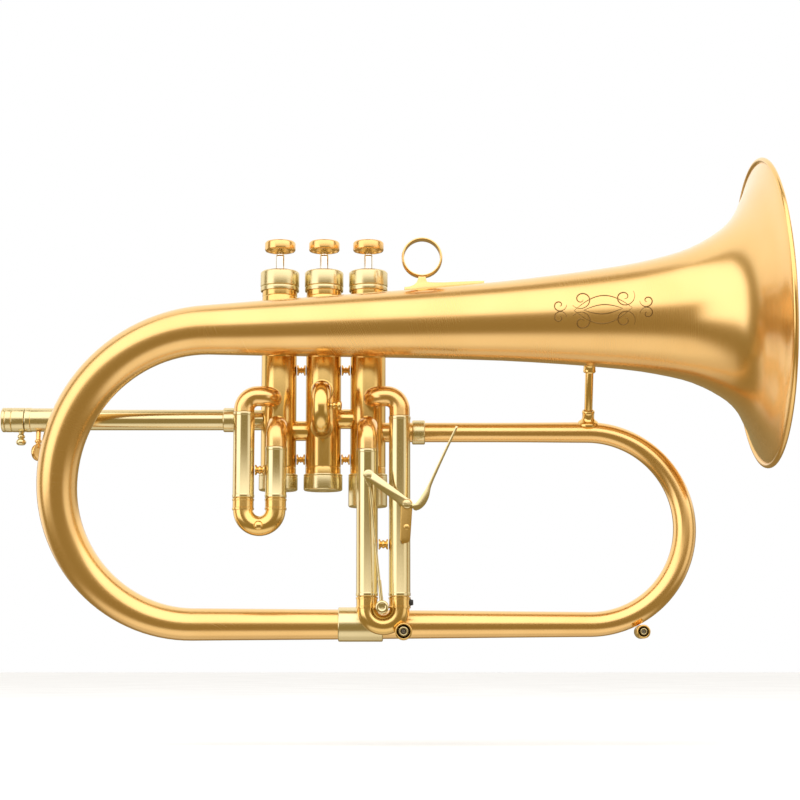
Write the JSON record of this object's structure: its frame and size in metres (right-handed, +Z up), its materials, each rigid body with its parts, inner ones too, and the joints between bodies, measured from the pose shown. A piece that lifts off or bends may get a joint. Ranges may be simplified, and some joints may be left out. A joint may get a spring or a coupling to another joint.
{
  "type": "flugelhorn",
  "caption": "Conical brass wind instrument with piston valves, tuning slides, a finger-pulled slide trigger and a wide flared bell.",
  "frame": {"origin": "on the middle valve's axis at the height of the leadpipe, where the left hand holds the valves", "axes": "+X is the way the bell points, +Z is up towards the finger buttons, -Y is the side of the valve slides"},
  "size_m": [0.413, 0.165, 0.2556],
  "materials": {
    "satin_gold_lacquer": "satin gold lacquer, brushed along the tube",
    "yellow_brass": "bright brushed yellow brass, clear lacquer",
    "nickel_silver": "polished nickel silver with a warm tint",
    "polished_nickel": "polished plate",
    "spring_steel": "drawn wire",
    "dark_steel": "dark turned steel"
  },
  "bodies": {
    "horn_body": {"bell": "satin_gold_lacquer", "bell_ferrule": "nickel_silver", "main_bow": "satin_gold_lacquer", "bow_ferrule": "nickel_silver", "brace_rod": "yellow_brass", "brace_bell_socket": "yellow_brass", "brace_bow_socket": "yellow_brass", "finger_ring": "satin_gold_lacquer", "leadpipe": "nickel_silver", "leadpipe_ferrule": "nickel_silver", "lock_collar": "nickel_silver", "valve_casing_1": "yellow_brass", "valve_casing_2": "yellow_brass", "valve_casing_3": "yellow_brass", "crossover_12": "yellow_brass", "crossover_23": "yellow_brass", "valve_brace_upper_12": "yellow_brass", "valve_brace_upper_23": "yellow_brass", "valve_brace_lower_12": "yellow_brass", "valve_brace_lower_23": "yellow_brass", "top_cap_1": "nickel_silver", "top_cap_2": "nickel_silver", "top_cap_3": "nickel_silver", "bottom_cap_1": "nickel_silver", "bottom_cap_2": "nickel_silver", "bottom_cap_3": "nickel_silver", "valve_spring_1": "spring_steel", "valve_spring_2": "spring_steel", "valve_spring_3": "spring_steel", "first_slide_upper_leg": "nickel_silver", "first_slide_lower_leg": "nickel_silver", "first_slide_brace": "yellow_brass", "second_slide_upper_sleeve": "yellow_brass", "second_slide_lower_sleeve": "yellow_brass", "third_slide_upper_leg": "nickel_silver", "third_slide_lower_leg": "nickel_silver", "third_slide_brace": "yellow_brass", "lever_bracket": "yellow_brass", "pivot_screw": "nickel_silver", "bow_water_key_body": "yellow_brass"},
    "valve_1_body": {"piston_1": "polished_nickel", "finger_button_1": "yellow_brass"},
    "valve_2_body": {"piston_2": "polished_nickel", "finger_button_2": "yellow_brass"},
    "valve_3_body": {"piston_3": "polished_nickel", "finger_button_3": "yellow_brass"},
    "receiver_body": {"mouthpiece_receiver": "nickel_silver", "receiver_knob": "nickel_silver"},
    "lock_body": {"lock_thumbscrew": "yellow_brass"},
    "first_slide_body": {"first_slide_bow": "yellow_brass", "first_slide_knob": "yellow_brass"},
    "second_slide_body": {"second_slide_bow": "yellow_brass", "second_slide_knob": "yellow_brass"},
    "third_slide_body": {"third_slide_bow": "yellow_brass", "slide_water_key_body": "yellow_brass", "rod_post": "nickel_silver"},
    "lever_body": {"trigger_lever": "nickel_silver"},
    "rod_body": {"connecting_rod": "nickel_silver"},
    "bow_key_body": {"bow_water_key_plunger": "dark_steel"},
    "slide_key_body": {"slide_water_key_plunger": "dark_steel"}
  },
  "joints": [
    {"name": "valve_1_stroke", "type": "slide", "parent": "horn_body", "child": "valve_1_body", "axis": [0, 0, -1], "range_m": [0, 0.011], "stiffness_N_per_m": 90, "springref_m": -0.02, "deforming": ["valve_spring_1"]},
    {"name": "valve_2_stroke", "type": "slide", "parent": "horn_body", "child": "valve_2_body", "axis": [0, 0, -1], "range_m": [0, 0.011], "stiffness_N_per_m": 90, "springref_m": -0.02, "deforming": ["valve_spring_2"]},
    {"name": "valve_3_stroke", "type": "slide", "parent": "horn_body", "child": "valve_3_body", "axis": [0, 0, -1], "range_m": [0, 0.011], "stiffness_N_per_m": 90, "springref_m": -0.02, "deforming": ["valve_spring_3"]},
    {"name": "tuning_slide", "type": "slide", "parent": "horn_body", "child": "receiver_body", "axis": [-1, 0, 0], "range_m": [0, 0.02]},
    {"name": "lock_screw_turn", "type": "hinge", "parent": "horn_body", "child": "lock_body", "pos_m": [-0.1546, 0, -0.0177], "axis": [0, 0, 1], "range_deg": [-90, 90]},
    {"name": "first_slide_travel", "type": "slide", "parent": "horn_body", "child": "first_slide_body", "axis": [0, 0, -1], "range_m": [0, 0.015]},
    {"name": "second_slide_travel", "type": "slide", "parent": "horn_body", "child": "second_slide_body", "axis": [0, -1, 0], "range_m": [0, 0.006]},
    {"name": "third_slide_travel", "type": "slide", "parent": "horn_body", "child": "third_slide_body", "axis": [0, 0, -1], "range_m": [0, 0.0112]},
    {"name": "trigger_pull", "type": "hinge", "parent": "horn_body", "child": "lever_body", "pos_m": [0.0453, -0.028, -0.048], "axis": [0, -1, 0], "range_deg": [0, 29], "stiffness_Nm_per_rad": 0.12, "springref_deg": -22.92},
    {"name": "rod_swing", "type": "hinge", "parent": "third_slide_body", "child": "rod_body", "pos_m": [0.0323, -0.0265, -0.1018], "axis": [0, -1, 0], "range_deg": [0, 4.2]},
    {"name": "bow_key_press", "type": "slide", "parent": "horn_body", "child": "bow_key_body", "axis": [0, 1, 0], "range_m": [0, 0.0015], "stiffness_N_per_m": 300, "springref_m": -0.003},
    {"name": "slide_key_press", "type": "slide", "parent": "third_slide_body", "child": "slide_key_body", "axis": [0, 1, 0], "range_m": [0, 0.0015], "stiffness_N_per_m": 300, "springref_m": -0.003}
  ],
  "couplings": [
    {"joint": "third_slide_travel", "follows": "trigger_pull", "m_per_rad": 0.02193},
    {"joint": "rod_swing", "follows": "trigger_pull", "ratio": 0.13966}
  ]
}
